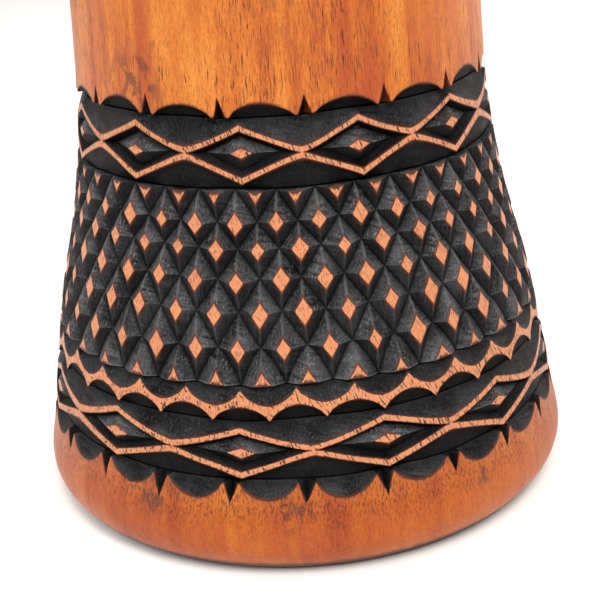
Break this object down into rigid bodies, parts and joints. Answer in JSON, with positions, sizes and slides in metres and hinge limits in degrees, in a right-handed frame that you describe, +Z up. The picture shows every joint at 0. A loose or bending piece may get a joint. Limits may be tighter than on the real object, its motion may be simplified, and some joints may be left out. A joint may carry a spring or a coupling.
{
  "type": "goblet drum",
  "caption": "Goblet-shaped hand drum: carved wooden shell on a flared foot, skin head, iron rings and rope lacing.",
  "frame": {"origin": "middle of the foot's underside, on the ground", "axes": "+Z up along the drum's axis, -Y towards the picture's viewer"},
  "size_m": [0.342, 0.3406, 0.6043],
  "materials": {
    "wood": "oiled satin, carved bands charred black",
    "skin": "dry scraped goat skin",
    "iron": "black paint, satin",
    "rope": "braided cord"
  },
  "bodies": {
    "root": {"shell": "wood", "skin_head": "skin", "flesh_ring": "iron", "crown_ring": "iron", "waist_ring": "iron", "crown_loops": "rope", "waist_loops": "rope", "lacing": "rope"}
  },
  "joints": []
}
